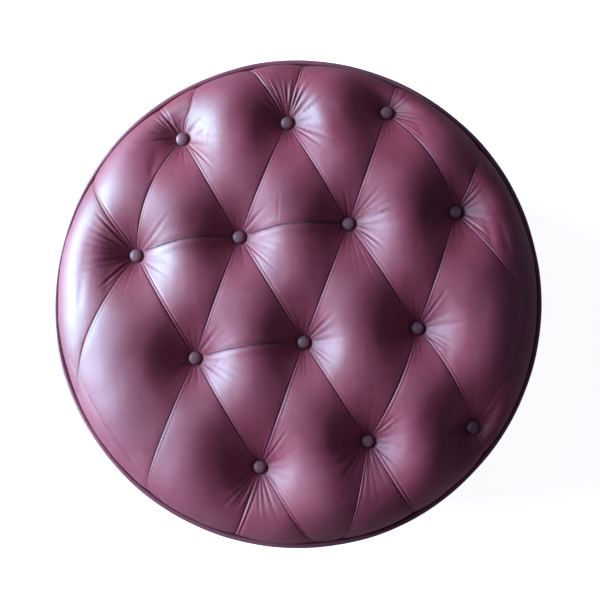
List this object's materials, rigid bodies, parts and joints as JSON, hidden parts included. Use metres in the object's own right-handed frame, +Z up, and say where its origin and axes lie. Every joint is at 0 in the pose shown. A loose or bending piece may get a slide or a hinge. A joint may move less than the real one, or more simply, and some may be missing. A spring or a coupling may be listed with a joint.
{
  "type": "round buttoned pouf",
  "caption": "Round pouf with a domed, deep-buttoned leather top in diamonds, piped edges, a plain leather side and turned bun feet; to sit on or rest feet on.",
  "frame": {"origin": "on the floor, under the middle of the pouf", "axes": "+Z up, -Y the front and +X the right-hand side, as the rows of buttons lie in the picture"},
  "size_m": [0.5999, 0.6, 0.4185],
  "materials": {
    "top_leather": "semi-gloss burgundy leather",
    "side_leather": "semi-gloss burgundy leather",
    "piping_leather": "skived burgundy leather",
    "button_leather": "stretched burgundy leather",
    "wadding": "loose polyester wadding",
    "foam": "cut polyurethane foam",
    "piping_cord": "soft cotton cord",
    "twine": "waxed twine",
    "steel": "zinc-plated steel",
    "plywood": "sanded birch plywood",
    "batten_wood": "planed softwood",
    "hardboard": "brown hardboard",
    "dust_cloth": "black non-woven cloth",
    "foot_wood": "dark polished mahogany",
    "glide_nylon": "moulded nylon"
  },
  "bodies": {
    "root": {"top_cover": "top_leather", "top_wadding": "wadding", "foam_pad": "foam", "top_welt": "piping_leather", "top_welt_cord": "piping_cord", "button_01": "button_leather", "button_02": "button_leather", "button_03": "button_leather", "button_04": "button_leather", "button_05": "button_leather", "button_06": "button_leather", "button_07": "button_leather", "button_08": "button_leather", "button_09": "button_leather", "button_10": "button_leather", "button_11": "button_leather", "button_12": "button_leather", "button_13": "button_leather", "button_backs": "steel", "tufting_twine": "twine", "twine_washers": "steel", "seat_board": "plywood", "batten_1": "batten_wood", "batten_2": "batten_wood", "batten_3": "batten_wood", "batten_4": "batten_wood", "batten_5": "batten_wood", "batten_6": "batten_wood", "batten_7": "batten_wood", "batten_8": "batten_wood", "batten_screws": "steel", "drum_wall": "hardboard", "border_foam": "foam", "border_panel_right": "side_leather", "border_panel_back": "side_leather", "border_panel_left": "side_leather", "border_panel_front": "side_leather", "base_board": "plywood", "bottom_welt": "piping_leather", "bottom_welt_cord": "piping_cord", "dust_cover": "dust_cloth", "foot_back_right": "foot_wood", "foot_back_left": "foot_wood", "foot_front_left": "foot_wood", "foot_front_right": "foot_wood", "foot_bolts": "steel", "tee_nuts": "steel", "glides": "glide_nylon"}
  },
  "joints": []
}
